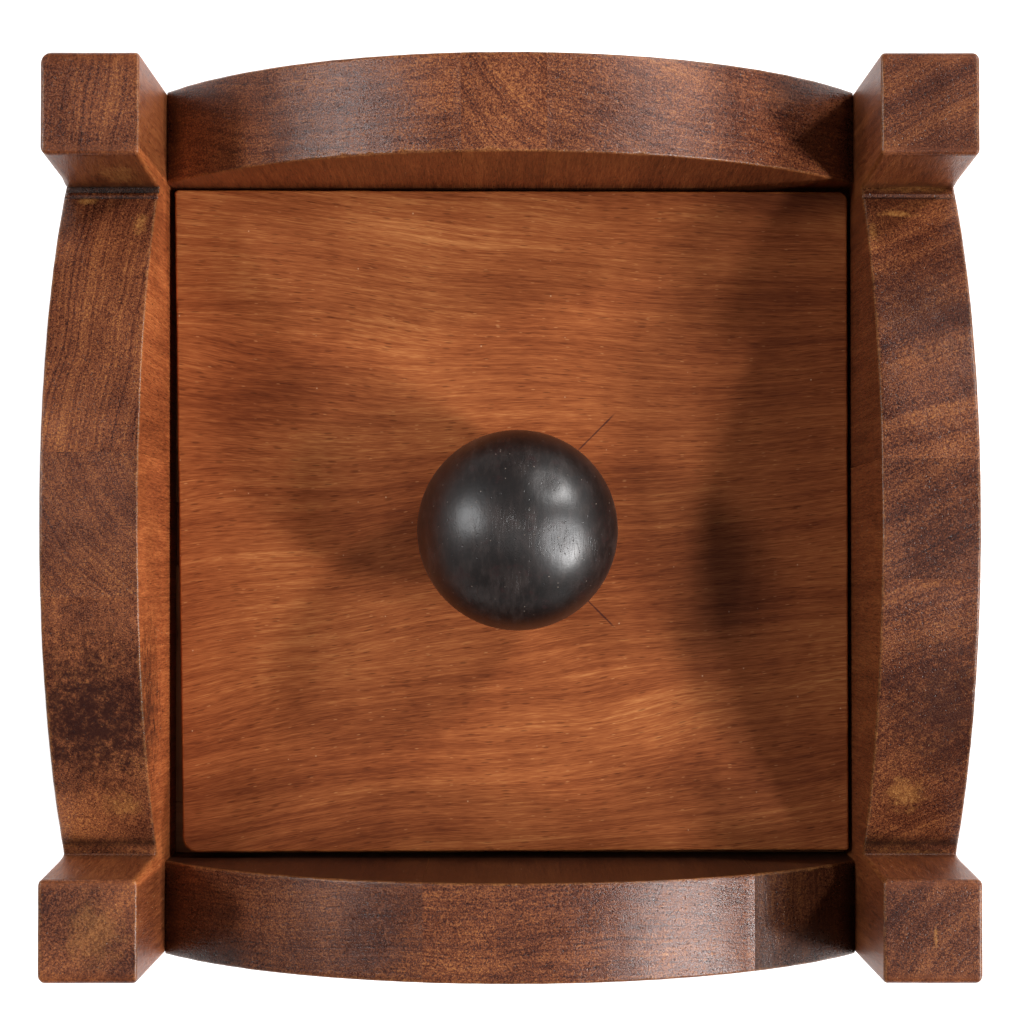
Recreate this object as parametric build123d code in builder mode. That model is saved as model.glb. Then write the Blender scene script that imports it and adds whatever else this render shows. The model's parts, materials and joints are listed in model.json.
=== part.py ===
from build123d import *

import math
import os

# Wooden puzzle box with a bowed crown, a loose lid and a ball knob.
# Row frame: +X right, +Y back, +Z up, millimetres, origin under the middle of the box.

# ---- driving dimensions -------------------------------------------------------------------
box_width = 150.0          # outside, along X
box_depth = 148.5          # outside, along Y
box_height = 150.0         # to the top of the corner blocks
side_thick = 15.8          # left and right boards
end_thick = 16.0           # front and back boards

block_length = 16.6        # square corner block at each end of a side board
side_drop = 20.5           # from the block's top down to the neck
neck_slant = 1.6           # how far the block's inner face leans in over that drop
end_drop = 29.0            # from the crown of an end board down to its springing

left_seams = (-12.9, 10.3)     # glue lines between the staves, along Y
right_seams = (-10.0, 9.3)
back_seams = (-7.9, 5.9)       # glue lines between the staves, along X
front_seams = (-14.0, 40.1)

lid_recess = 31.0          # from the block's top down to the lid
lid_thick = 9.0
lid_corners = ((-56.6, -57.2), (58.6, -56.8), (58.6, 57.4), (-58.3, 57.7))
lid_corner_radius = 1.2

knob_x = 1.2               # the knob's axis
knob_y = -1.9
ball_radius = 16.5
ball_over_lid = 19.0       # widest circle of the ball above the lid
shoulder_radius = 13.0     # of the ball's profile above its widest circle
crown_radius = 21.0        # of its flatter top
neck_radius = 7.5

base_thick = 8.0
rabbet = 8.0               # how far the base runs into the boards

ledge_width = 9.0
ledge_height = 20.0
rest_gap = 0.1             # lid to ledge

carrier_thick = 12.0
carrier_gap = 0.8          # carrier to ledge
web = 3.0                  # left over the pocket
cover_thick = 3.0

bolt_width = 10.0
bolt_thick = 4.8
bolt_travel = 7.0
bolt_slack = 0.4
bolt_inner = 8.5           # inner end of a bolt, from the knob's axis
mortise_gap = 0.6

cam_radius = 24.5
cam_thick = 3.0
cam_turn = 90.0            # degrees, from unlocked to locked
follower_radius = 1.5
follower_inner = 12.0      # radius of a follower when the bolt is back
slot_slack = 0.35          # each side of a follower
pocket_radius = 25.2

tilt_radius = 1.9
tilt_length = 14.0
tilt_travel = 4.5
tilt_bore = 2.2
tilt_angle = 45.0

shaft_radius = 4.0
shaft_fit = 0.05           # radial running clearance in the bush
bush_radius = 6.0

screw_radius = 1.5
screw_head = 3.0
dowel_radius = 4.0
dowel_length = 26.0

# ---- places worked out from them ----------------------------------------------------------
half_width = box_width / 2
half_depth = box_depth / 2
inner_x = half_width - side_thick
inner_y = half_depth - end_thick
block_inner = half_depth - block_length
neck_y = block_inner - neck_slant
neck_z = box_height - side_drop
spring_z = box_height - end_drop

lid_top = box_height - lid_recess
lid_under = lid_top - lid_thick
ledge_top = lid_under - rest_gap
ledge_low = lid_under - ledge_height
ledge_x = inner_x - ledge_width
ledge_y = inner_y - ledge_width

carrier_low = lid_under - carrier_thick
carrier_x = ledge_x - carrier_gap
carrier_y = ledge_y - carrier_gap
cover_low = carrier_low - cover_thick
pocket_top = lid_under - web

bolt_low = carrier_low + bolt_slack
bolt_top = bolt_low + bolt_thick
channel_width = bolt_width + 2 * 0.3
channel_top = bolt_top + bolt_slack
cam_low = bolt_top + bolt_slack
cam_top = cam_low + cam_thick
bolt_end_gap = 0.3         # bolt's nose inside the carrier's edge when it is back

ball_z = lid_top + ball_over_lid
tilt_z = pocket_top - tilt_bore + 0.1
tilt_tip = cam_radius + 0.5
tilt_stop = tilt_tip + tilt_length + 0.5

# Each bolt: name, direction along X, direction along Y, edge of the carrier on that side.
bolt_sides = (
    ("right", 1, 0, carrier_x - knob_x),
    ("back", 0, 1, carrier_y - knob_y),
    ("left", -1, 0, carrier_x + knob_x),
    ("front", 0, -1, carrier_y + knob_y),
)

dowel_points = [
    (side * inner_x, end * (half_depth - end_thick / 2), z)
    for side in (-1, 1)
    for end in (-1, 1)
    for z in (30.0, 65.0, 100.0)
]
base_screw_points = [(side * (inner_x + rabbet / 2), y) for side in (-1, 1) for y in (-45.0, 0.0, 45.0)]
base_screw_points += [(x, end * (inner_y + rabbet / 2)) for end in (-1, 1) for x in (-28.0, 28.0)]
cover_screw_points = [(x, y) for x in (-43.0, 43.0) for y in (-30.0, 30.0)]
carrier_screw_points = [(x, y) for x in (-30.0, 30.0) for y in (-43.0, 43.0)]
ledge_screw_offset = 32.0
ledge_screw_z = 100.0
wood_screw_length = 18.0
cover_screw_length = 12.0
carrier_screw_length = 17.0

os.makedirs("parts", exist_ok=True)


# ---- helpers ------------------------------------------------------------------------------
def save(name, builder):
    """Label a finished piece and write it."""
    builder.part.label = name
    export_step(builder.part, f"parts/{name}.step")


def block(low, high, mode=Mode.ADD):
    """Add or cut the box between two corners."""
    middle = [(a + b) / 2 for a, b in zip(low, high)]
    size = [b - a for a, b in zip(low, high)]
    with Locations(tuple(middle)):
        Box(size[0], size[1], size[2], mode=mode)


def base_cut():
    """Cut the rabbet for the base panel."""
    low = (-inner_x - rabbet, -inner_y - rabbet, 0)
    high = (inner_x + rabbet, inner_y + rabbet, base_thick)
    block(low, high, Mode.SUBTRACT)


def base_screw_cut():
    """Cut the pilot holes of the base screws, above the base."""
    with Locations(*[(x, y, wood_screw_length / 2) for x, y in base_screw_points]):
        Cylinder(screw_radius, wood_screw_length, mode=Mode.SUBTRACT)


def dowel_cut():
    """Cut the blind holes of the corner dowels."""
    with Locations(*dowel_points):
        Cylinder(dowel_radius, dowel_length, rotation=(0, 90, 0), mode=Mode.SUBTRACT)


def ledge_screw_places():
    """Location of each ledge screw: head in the ledge's inner face, point in the board."""
    places = []
    for side, angle in ((1, 0), (-1, 180)):
        for offset in (-ledge_screw_offset, ledge_screw_offset):
            places.append(Location((side * ledge_x, offset, ledge_screw_z), (0, side * 90, 0)))
            places.append(Location((offset, side * ledge_y, ledge_screw_z), (-side * 90, 0, 0)))
    return places


def wood_screw(length):
    """A slotted countersunk screw that points along +Z from its flat head at Z = 0."""
    with BuildPart() as screw:
        with BuildSketch(Plane.XZ):
            with BuildLine():
                Polyline(
                    (0, 0),
                    (screw_head, 0),
                    (screw_radius, screw_head - screw_radius),
                    (screw_radius, length - screw_radius),
                    (0, length),
                    close=True,
                )
            make_face()
        revolve(axis=Axis.Z)
        block((-screw_head, -0.4, 0), (screw_head, 0.4, 0.8), Mode.SUBTRACT)
    return screw.part


def screw_hole(length):
    """The hole that fits such a screw, as a solid to cut with."""
    with BuildPart() as hole:
        with BuildSketch(Plane.XZ):
            with BuildLine():
                Polyline(
                    (0, 0),
                    (screw_head, 0),
                    (screw_radius, screw_head - screw_radius),
                    (screw_radius, length),
                    (0, length),
                    close=True,
                )
            make_face()
        revolve(axis=Axis.Z)
    return hole.part


def screw_group(length, places):
    """Several identical screws as separate solids."""
    shape = wood_screw(length)
    with BuildPart() as group:
        for place in places:
            add(place * shape)
    return group


def hole_cut(length, places):
    """Cut the holes of a group of screws from the active part."""
    shape = screw_hole(length)
    for place in places:
        add(place * shape, mode=Mode.SUBTRACT)


base_screw_places = [Location((x, y, 0)) for x, y in base_screw_points]
cover_screw_places = [Location((x, y, cover_low)) for x, y in cover_screw_points]
carrier_screw_places = [Location((x, y, carrier_low)) for x, y in carrier_screw_points]


# ---- the four boards, each glued up from three staves ---------------------------------------
def side_stave(side, low_y, high_y):
    """Part of a side board between two seams; side is -1 for left and 1 for right."""
    start = inner_x if side > 0 else -half_width
    with BuildPart() as stave:
        with BuildSketch(Plane.YZ.offset(start)):
            with BuildLine():
                Polyline((neck_y, neck_z), (block_inner, box_height), (half_depth, box_height), (half_depth, 0))
                Line((half_depth, 0), (-half_depth, 0))
                Polyline((-half_depth, 0), (-half_depth, box_height), (-block_inner, box_height), (-neck_y, neck_z))
                ThreePointArc((-neck_y, neck_z), (0, box_height), (neck_y, neck_z))
            make_face()
        extrude(amount=side_thick)
        block((-half_width, low_y, 0), (half_width, high_y, box_height), Mode.INTERSECT)
        base_cut()
        base_screw_cut()
        dowel_cut()
        hole_cut(wood_screw_length, ledge_screw_places())
    return stave


def end_stave(end, low_x, high_x):
    """Part of an end board between two seams; end is -1 for front and 1 for back."""
    start = inner_y if end < 0 else -half_depth
    with BuildPart() as stave:
        with BuildSketch(Plane.XZ.offset(start)):
            with BuildLine():
                Polyline((inner_x, spring_z), (inner_x, 0), (-inner_x, 0), (-inner_x, spring_z))
                ThreePointArc((-inner_x, spring_z), (0, box_height), (inner_x, spring_z))
            make_face()
        extrude(amount=end_thick)
        block((low_x, -half_depth, 0), (high_x, half_depth, box_height), Mode.INTERSECT)
        base_cut()
        base_screw_cut()
        dowel_cut()
        hole_cut(wood_screw_length, ledge_screw_places())
    return stave


def spans(half, seams):
    """Low and high end of each of the three staves between two seams."""
    return ((-half, seams[0]), (seams[0], seams[1]), (seams[1], half))


for wall, side, seams in (("left", -1, left_seams), ("right", 1, right_seams)):
    for place, (low, high) in zip(("front", "middle", "rear"), spans(half_depth, seams)):
        save(f"{wall}_wall_{place}_stave", side_stave(side, low, high))

for wall, end, seams in (("front", -1, front_seams), ("back", 1, back_seams)):
    for place, (low, high) in zip(("left", "middle", "right"), spans(inner_x, seams)):
        save(f"{wall}_wall_{place}_stave", end_stave(end, low, high))

# ---- base, corner dowels and their screws ---------------------------------------------------
with BuildPart() as base_panel:
    block((-inner_x - rabbet, -inner_y - rabbet, 0), (inner_x + rabbet, inner_y + rabbet, base_thick))
    hole_cut(wood_screw_length, base_screw_places)
save("base_panel", base_panel)

base_screws = screw_group(wood_screw_length, base_screw_places)
save("base_screws", base_screws)

with BuildPart() as corner_dowels:
    with Locations(*dowel_points):
        Cylinder(dowel_radius, dowel_length, rotation=(0, 90, 0))
save("corner_dowels", corner_dowels)

# ---- ledges that the lid lies on: on each wall two cleats, and a keeper for the bolt between ----
mortise_half = bolt_width / 2 + mortise_gap
mortise_top = bolt_top + mortise_gap


def cleat(low, high):
    """One length of ledge with its screw holes."""
    with BuildPart() as strip:
        block(low, high)
        hole_cut(wood_screw_length, ledge_screw_places())
    return strip


def keeper(low, high):
    """The short block over a bolt's way, glued between two cleats."""
    with BuildPart() as strip:
        block(low, high)
    return strip


for wall, side in (("right", 1), ("left", -1)):
    near, far = sorted((side * ledge_x, side * inner_x))
    gap_low, gap_high = knob_y - mortise_half, knob_y + mortise_half
    save(f"ledge_{wall}_front", cleat((near, -ledge_y, ledge_low), (far, gap_low, ledge_top)))
    save(f"ledge_{wall}_rear", cleat((near, gap_high, ledge_low), (far, ledge_y, ledge_top)))
    save(f"keeper_{wall}", keeper((near, gap_low, mortise_top), (far, gap_high, ledge_top)))

for wall, side in (("back", 1), ("front", -1)):
    near, far = sorted((side * ledge_y, side * inner_y))
    gap_low, gap_high = knob_x - mortise_half, knob_x + mortise_half
    save(f"ledge_{wall}_left", cleat((-inner_x, near, ledge_low), (gap_low, far, ledge_top)))
    save(f"ledge_{wall}_right", cleat((gap_high, near, ledge_low), (inner_x, far, ledge_top)))
    save(f"keeper_{wall}", keeper((gap_low, near, mortise_top), (gap_high, far, ledge_top)))

ledge_screws = screw_group(wood_screw_length, ledge_screw_places())
save("ledge_screws", ledge_screws)

# ---- lid: panel, bolt carrier, cover plate, bush --------------------------------------------
with BuildPart() as lid_panel:
    with BuildSketch(Plane.XY.offset(lid_under)) as panel_outline:
        with BuildLine():
            Polyline(*lid_corners, close=True)
        make_face()
        fillet(panel_outline.vertices(), lid_corner_radius)
    extrude(amount=lid_thick)
    with Locations((knob_x, knob_y, lid_under + lid_thick / 2)):
        Cylinder(bush_radius, lid_thick, mode=Mode.SUBTRACT)
    hole_cut(carrier_screw_length, carrier_screw_places)
save("lid_panel", lid_panel)

tilt_direction = (math.cos(math.radians(tilt_angle)), math.sin(math.radians(tilt_angle)))
tilt_run = (carrier_x - knob_x) / tilt_direction[0]


def along_tilt(radius):
    """Point on the tilt pin's axis at a distance from the knob's axis."""
    return (knob_x + radius * tilt_direction[0], knob_y + radius * tilt_direction[1], tilt_z)


def tilt_rod(radius, start, end, mode=Mode.ADD):
    """Round rod along the tilt pin's axis."""
    with BuildSketch(Plane(origin=along_tilt(start), z_dir=(*tilt_direction, 0))) as section:
        Circle(radius)
    extrude(section.sketch, amount=end - start, mode=mode)


with BuildPart() as bolt_carrier:
    block((-carrier_x, -carrier_y, carrier_low), (carrier_x, carrier_y, lid_under))
    with Locations((knob_x, knob_y, (carrier_low + pocket_top) / 2)):
        Cylinder(pocket_radius, pocket_top - carrier_low, mode=Mode.SUBTRACT)
    with Locations((knob_x, knob_y, (pocket_top + lid_under) / 2)):
        Cylinder(bush_radius, web, mode=Mode.SUBTRACT)
    for name, dx, dy, reach in bolt_sides:
        half_long = channel_width / 2
        corner_a = (knob_x - half_long, knob_y - half_long)
        corner_b = (knob_x + half_long, knob_y + half_long)
        low = (corner_a[0] + min(dx, 0) * reach, corner_a[1] + min(dy, 0) * reach, carrier_low)
        high = (corner_b[0] + max(dx, 0) * reach, corner_b[1] + max(dy, 0) * reach, channel_top)
        block(low, high, Mode.SUBTRACT)
    tilt_rod(tilt_bore, pocket_radius - 1.0, tilt_run + 4.0, Mode.SUBTRACT)
    hole_cut(carrier_screw_length, carrier_screw_places)
    hole_cut(cover_screw_length, cover_screw_places)
save("bolt_carrier", bolt_carrier)

with BuildPart() as tilt_plug:
    tilt_rod(tilt_bore, tilt_stop, tilt_run - tilt_bore - 0.5)
save("tilt_plug", tilt_plug)

with BuildPart() as cover_plate:
    block((-carrier_x, -carrier_y, cover_low), (carrier_x, carrier_y, carrier_low))
    hole_cut(cover_screw_length, cover_screw_places)
save("cover_plate", cover_plate)

cover_screws = screw_group(cover_screw_length, cover_screw_places)
save("cover_screws", cover_screws)

carrier_screws = screw_group(carrier_screw_length, carrier_screw_places)
save("carrier_screws", carrier_screws)

with BuildPart() as spindle_bush:
    with BuildSketch(Plane.XY.offset(pocket_top)):
        with Locations((knob_x, knob_y)):
            Circle(bush_radius)
            Circle(shaft_radius + shaft_fit, mode=Mode.SUBTRACT)
    extrude(amount=lid_top - pocket_top)
save("spindle_bush", spindle_bush)

# ---- knob: ball, spindle, washer, cam and nut -----------------------------------------------
washer_low = lid_top + 0.05
washer_thick = 0.7
neck_low = washer_low + washer_thick
stud_radius = 3.0
stud_top = ball_z - 4.0
square_side = 5.6
thread_radius = 2.5
nut_low = cam_low - 4.0
nut_flats = 8.0

shoulder_in = ball_radius - shoulder_radius
crown_angle = math.asin(shoulder_in / (crown_radius - shoulder_radius))
crown_centre = ball_z - shoulder_in / math.tan(crown_angle)
ball_low = neck_low + 2.5
low_angle = math.pi - math.acos((ball_z - ball_low) / ball_radius)
wide_angle = math.pi / 2


def around(centre_in, centre_z, radius, angle):
    """Point on an arc of the ball's profile, at an angle from straight up."""
    x = knob_x + centre_in + radius * math.sin(angle)
    return (x, centre_z + radius * math.cos(angle))


lower_arc = (0, ball_z, ball_radius)
shoulder_arc = (shoulder_in, ball_z, shoulder_radius)
crown_arc = (0, crown_centre, crown_radius)
ball_foot = around(*lower_arc, low_angle)
ball_side = around(*lower_arc, wide_angle)
ball_shoulder = around(*shoulder_arc, crown_angle)
ball_top = around(*crown_arc, 0)

with BuildPart() as knob_ball:
    with BuildSketch(Plane.XZ.offset(-knob_y)):
        with BuildLine():
            Line((knob_x, ball_low), ball_foot)
            ThreePointArc(ball_foot, around(*lower_arc, (low_angle + wide_angle) / 2), ball_side)
            ThreePointArc(ball_side, around(*shoulder_arc, (crown_angle + wide_angle) / 2), ball_shoulder)
            ThreePointArc(ball_shoulder, around(*crown_arc, crown_angle / 2), ball_top)
            Line(ball_top, (knob_x, ball_low))
        make_face()
    revolve(axis=Axis((knob_x, knob_y, 0), (0, 0, 1)))
    with BuildSketch(Plane.XY.offset(neck_low)):
        with Locations((knob_x, knob_y)):
            Circle(neck_radius)
    extrude(amount=6.0)
    with BuildSketch(Plane.XY.offset(neck_low)):
        with Locations((knob_x, knob_y)):
            Circle(stud_radius)
    extrude(amount=stud_top - neck_low, mode=Mode.SUBTRACT)
save("knob_ball", knob_ball)

with BuildPart() as knob_spindle:
    for bottom, top, radius in (
        (nut_low - 0.8, cam_low, thread_radius),
        (cam_top, neck_low, shaft_radius),
        (neck_low, stud_top, stud_radius),
    ):
        with BuildSketch(Plane.XY.offset(bottom)):
            with Locations((knob_x, knob_y)):
                Circle(radius)
        extrude(amount=top - bottom)
    with BuildSketch(Plane.XY.offset(cam_low)):
        with Locations((knob_x, knob_y)):
            Rectangle(square_side, square_side)
    extrude(amount=cam_thick)
save("knob_spindle", knob_spindle)

with BuildPart() as spindle_washer:
    with BuildSketch(Plane.XY.offset(washer_low)):
        with Locations((knob_x, knob_y)):
            Circle(9.0)
            Circle(shaft_radius, mode=Mode.SUBTRACT)
    extrude(amount=washer_thick)
save("spindle_washer", spindle_washer)

with BuildPart() as spindle_nut:
    with BuildSketch(Plane.XY.offset(nut_low)):
        with Locations((knob_x, knob_y)):
            RegularPolygon(nut_flats / 2, 6, major_radius=False)
            Circle(thread_radius, mode=Mode.SUBTRACT)
    extrude(amount=cam_low - nut_low)
save("spindle_nut", spindle_nut)


def spiral_point(start_angle, turn, across, along=0.0):
    """Point by a cam slot's centre line, on which the radius grows evenly as the cam turns back."""
    radius = follower_inner + bolt_travel * turn / cam_turn
    growth = bolt_travel / math.radians(cam_turn)
    angle = math.radians(start_angle - turn)
    normal = angle + math.atan2(growth, radius)
    x = radius * math.cos(angle) + across * math.cos(normal) + along * math.sin(normal)
    y = radius * math.sin(angle) + across * math.sin(normal) - along * math.cos(normal)
    return (knob_x + x, knob_y + y)


def cam_slot(start_angle):
    """Outline of a spiral slot with round ends."""
    half = follower_radius + slot_slack
    turns = [cam_turn * i / 8 for i in range(9)]
    outer = [spiral_point(start_angle, turn, half) for turn in turns]
    inner = [spiral_point(start_angle, turn, -half) for turn in turns]
    near_tip = spiral_point(start_angle, 0, 0, -half)
    far_tip = spiral_point(start_angle, cam_turn, 0, half)
    with BuildSketch() as slot:
        with BuildLine():
            Spline(*outer)
            ThreePointArc(outer[-1], far_tip, inner[-1])
            Spline(*reversed(inner))
            ThreePointArc(inner[0], near_tip, outer[0])
        make_face()
    return slot.sketch


notch_half = tilt_radius + 0.5
notch_floor = tilt_tip - tilt_travel - 0.3

with BuildPart() as cam_disc:
    with BuildSketch(Plane.XY.offset(cam_low)):
        with Locations((knob_x, knob_y)):
            Circle(cam_radius)
            Rectangle(square_side, square_side, mode=Mode.SUBTRACT)
        for start_angle in (0, 90, 180, 270):
            add(cam_slot(start_angle), mode=Mode.SUBTRACT)
        for angle in (tilt_angle, tilt_angle - cam_turn):
            reach = notch_floor + ball_radius
            middle_x = knob_x + reach * math.cos(math.radians(angle))
            middle_y = knob_y + reach * math.sin(math.radians(angle))
            with Locations(Location((middle_x, middle_y, 0), (0, 0, angle))):
                Rectangle(2 * ball_radius, 2 * notch_half, mode=Mode.SUBTRACT)
    extrude(amount=cam_thick)
save("cam_disc", cam_disc)

# ---- bolts, their followers and the tilt pin ------------------------------------------------
follower_low = bolt_low + 1.0
follower_top = cam_top - 0.1

for name, dx, dy, reach in bolt_sides:
    follower = (knob_x + dx * follower_inner, knob_y + dy * follower_inner)
    nose = reach - bolt_end_gap
    half = bolt_width / 2
    along = sorted((bolt_inner, nose))
    low_x, high_x = sorted((dx * along[0], dx * along[1])) if dx else (-half, half)
    low_y, high_y = sorted((dy * along[0], dy * along[1])) if dy else (-half, half)
    with BuildPart() as bolt:
        block((knob_x + low_x, knob_y + low_y, bolt_low), (knob_x + high_x, knob_y + high_y, bolt_top))
        axis = Axis.X if dx else Axis.Y
        ends = bolt.faces().sort_by(axis)
        nose_face = ends[-1] if dx + dy > 0 else ends[0]
        chamfer(nose_face.edges(), 0.8)
        with BuildSketch(Plane.XY.offset(follower_low)):
            with Locations(follower):
                Circle(follower_radius)
        extrude(amount=bolt_top - follower_low, mode=Mode.SUBTRACT)
    save(f"bolt_{name}", bolt)

    with BuildPart() as pin:
        with BuildSketch(Plane.XY.offset(follower_low)):
            with Locations(follower):
                Circle(follower_radius)
        extrude(amount=follower_top - follower_low)
    save(f"follower_{name}", pin)

with BuildPart() as tilt_pin:
    tilt_rod(tilt_radius, tilt_tip, tilt_tip + tilt_length)
save("tilt_pin", tilt_pin)
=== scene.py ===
"""Looks of a wooden puzzle box with a bowed crown, a loose lid and a ball knob."""

import json
import math

import bmesh
import bpy
from mathutils import Matrix, Vector, noise
from mathutils.geometry import delaunay_2d_cdt


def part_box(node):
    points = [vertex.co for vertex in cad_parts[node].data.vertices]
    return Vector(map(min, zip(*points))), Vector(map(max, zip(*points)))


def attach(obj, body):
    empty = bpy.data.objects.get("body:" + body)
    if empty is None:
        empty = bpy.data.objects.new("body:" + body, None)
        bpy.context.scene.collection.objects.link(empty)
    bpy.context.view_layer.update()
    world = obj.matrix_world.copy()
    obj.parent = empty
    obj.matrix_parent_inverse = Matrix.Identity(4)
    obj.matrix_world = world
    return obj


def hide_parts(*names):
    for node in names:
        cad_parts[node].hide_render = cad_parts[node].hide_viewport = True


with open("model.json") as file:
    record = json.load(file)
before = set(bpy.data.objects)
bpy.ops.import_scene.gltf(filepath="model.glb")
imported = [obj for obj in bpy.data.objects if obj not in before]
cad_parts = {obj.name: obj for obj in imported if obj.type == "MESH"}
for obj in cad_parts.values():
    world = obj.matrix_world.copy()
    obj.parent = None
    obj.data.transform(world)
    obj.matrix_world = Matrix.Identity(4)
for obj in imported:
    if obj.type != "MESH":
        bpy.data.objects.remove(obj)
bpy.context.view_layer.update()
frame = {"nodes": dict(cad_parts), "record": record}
scene = bpy.context.scene
MM = 0.001


# ---- sizes from the frame ----
def corners_mm(node):
    """Lowest and highest corner of a CAD node, in millimetres."""
    low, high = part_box(node)
    return [v / MM for v in low], [v / MM for v in high]


half_depth, crown_z = corners_mm("left_wall_rear_stave")[1][1:]
inner_x = corners_mm("right_wall_rear_stave")[0][0]
inner_y = corners_mm("back_wall_middle_stave")[0][1]


# ---- camera ----
camera_data = bpy.data.cameras.new("camera")
camera_data.lens = 77.34
camera_data.sensor_width = 36.0
camera_data.shift_y = 0.036
camera_data.clip_start = 0.01
camera_data.clip_end = 100.0
camera = bpy.data.objects.new("camera", camera_data)
scene.collection.objects.link(camera)
camera_x, camera_y, camera_above_crown = -0.285, -10.85, 349.7
lean_x, lean_y = 0.0016, 0.0162  # radians away from straight down
forward = Vector((math.sin(lean_x), math.sin(lean_y), 0))
forward.z = -math.sqrt(1 - forward.length_squared)
right = forward.cross(Vector((0, 1, 0))).normalized()
upward = right.cross(forward)
turn = Matrix((right, upward, -forward)).transposed().to_4x4()
camera_place = Vector((camera_x, camera_y, crown_z + camera_above_crown)) * MM
camera.matrix_world = Matrix.Translation(camera_place) @ turn
scene.camera = camera


# ---- node helpers ----
class Net:
    """A material's node tree, with short ways to add nodes."""

    def __init__(self, name):
        self.material = bpy.data.materials.new(name)
        self.material.use_nodes = True
        self.tree = self.material.node_tree
        self.tree.nodes.clear()

    def node(self, kind, settings=None, inputs=None):
        made = self.tree.nodes.new(kind)
        for key, value in (settings or {}).items():
            setattr(made, key, value)
        for key, value in (inputs or {}).items():
            self.feed(made.inputs[key], value)
        return made

    def feed(self, socket, value):
        if isinstance(value, bpy.types.NodeSocket):
            self.tree.links.new(value, socket)
        else:
            socket.default_value = value

    def math(self, operation, a, b=0.0, c=0.0, clamp=False):
        made = self.node("ShaderNodeMath", {"operation": operation, "use_clamp": clamp}, {0: a, 1: b, 2: c})
        return made.outputs[0]

    def vector(self, operation, a, b=(0, 0, 0), scale=None):
        made = self.node("ShaderNodeVectorMath", {"operation": operation}, {0: a, 1: b})
        if scale is not None:
            self.feed(made.inputs["Scale"], scale)
        return made.outputs["Value" if operation in ("LENGTH", "DOT_PRODUCT", "DISTANCE") else "Vector"]

    def step(self, value, low, high, out_low=0.0, out_high=1.0):
        """Smooth step from out_low at low to out_high at high."""
        made = self.node(
            "ShaderNodeMapRange",
            {"interpolation_type": "SMOOTHSTEP"},
            {0: value, 1: low, 2: high, 3: out_low, 4: out_high},
        )
        return made.outputs[0]

    def noise(self, vector, scale, detail=2.0, rough=0.55, distortion=0.0, colour=False):
        grain = {"Scale": scale, "Detail": detail, "Roughness": rough, "Distortion": distortion}
        made = self.node("ShaderNodeTexNoise", {"noise_dimensions": "3D"}, {"Vector": vector, **grain})
        return made.outputs["Color" if colour else "Fac"]

    def noise_line(self, value, scale, detail=2.0, rough=0.55):
        grain = {"Scale": scale, "Detail": detail, "Roughness": rough}
        made = self.node("ShaderNodeTexNoise", {"noise_dimensions": "1D"}, {"W": value, **grain})
        return made.outputs["Fac"]

    def cells(self, vector, scale):
        """Distance to the nearest cell's centre, and that cell's random number from 0 to 1."""
        made = self.node("ShaderNodeTexVoronoi", {"feature": "F1"}, {"Vector": vector, "Scale": scale})
        kind = self.node("ShaderNodeSeparateColor", None, {0: made.outputs["Color"]})
        return made.outputs["Distance"], kind.outputs[0]

    def ramp(self, value, stops):
        made = self.node("ShaderNodeValToRGB", None, {0: value})
        band = made.color_ramp
        while len(band.elements) > 1:
            band.elements.remove(band.elements[-1])
        band.elements[0].position = stops[0][0]
        band.elements[0].color = (*stops[0][1], 1)
        for place, colour in stops[1:]:
            band.elements.new(place).color = (*colour, 1)
        return made.outputs["Color"]

    def mix(self, share, a, b, blend="MIX"):
        made = self.node("ShaderNodeMix", {"data_type": "RGBA", "blend_type": blend})
        self.feed(made.inputs[0], share)
        for index, value in ((6, a), (7, b)):
            self.feed(made.inputs[index], (*value, 1) if isinstance(value, tuple) else value)
        return made.outputs[2]

    def tint(self, colour, factor):
        """Colour times a grey factor."""
        return self.vector("SCALE", colour, scale=factor)

    def product(self, first, *others):
        for value in others:
            first = self.math("MULTIPLY", first, value)
        return first

    def paint(self, colour, mask, amount, over):
        """The colour with another one laid over it, where the mask says and as strongly as amount."""
        return self.mix(self.product(mask, amount), colour, over)

    def axes(self, vector):
        """The X, Y and Z of a vector."""
        return self.node("ShaderNodeSeparateXYZ", None, {0: vector}).outputs

    def bare_edge(self, ragged, amount, low, high, most):
        """Share of bare wood along the worn edges, which a noise makes ragged."""
        reach = self.math("ADD", self.attribute("edge"), self.product(ragged, amount))
        return self.step(reach, low, high, 0.0, most)

    def total(self, *terms):
        """Sum of (value - 0.5) * amount over the terms, plus 0.5."""
        result = 0.5
        for value, amount in terms:
            result = self.math("MULTIPLY_ADD", self.math("SUBTRACT", value, 0.5), amount, result)
        return result

    def attribute(self, name):
        return self.node("ShaderNodeAttribute", {"attribute_name": name}).outputs["Fac"]

    def place_mm(self):
        """The object's own coordinates in millimetres."""
        return self.vector("SCALE", self.node("ShaderNodeTexCoord").outputs["Object"], scale=1000.0)

    def finish(self, colour, roughness, height=None, strength=0.3, depth=0.1, **constants):
        """Closes the tree with a Principled shader; depth is the relief in millimetres."""
        shader = self.node("ShaderNodeBsdfPrincipled", None, {"Base Color": colour, "Roughness": roughness})
        for key, value in constants.items():
            shader.inputs[key.replace("_", " ")].default_value = value
        if height is not None:
            relief = {"Height": height, "Strength": strength, "Distance": depth * MM}
            bump = self.node("ShaderNodeBump", None, relief)
            self.feed(shader.inputs["Normal"], bump.outputs[0])
        self.node("ShaderNodeOutputMaterial", None, {"Surface": shader.outputs[0]})
        return self.material


def srgb(*levels):
    """Linear colour from 0 to 255 display levels."""
    shares = [v / 255 for v in levels]
    return tuple(v / 12.92 if v <= 0.04045 else ((v + 0.055) / 1.055) ** 2.4 for v in shares)


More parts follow.
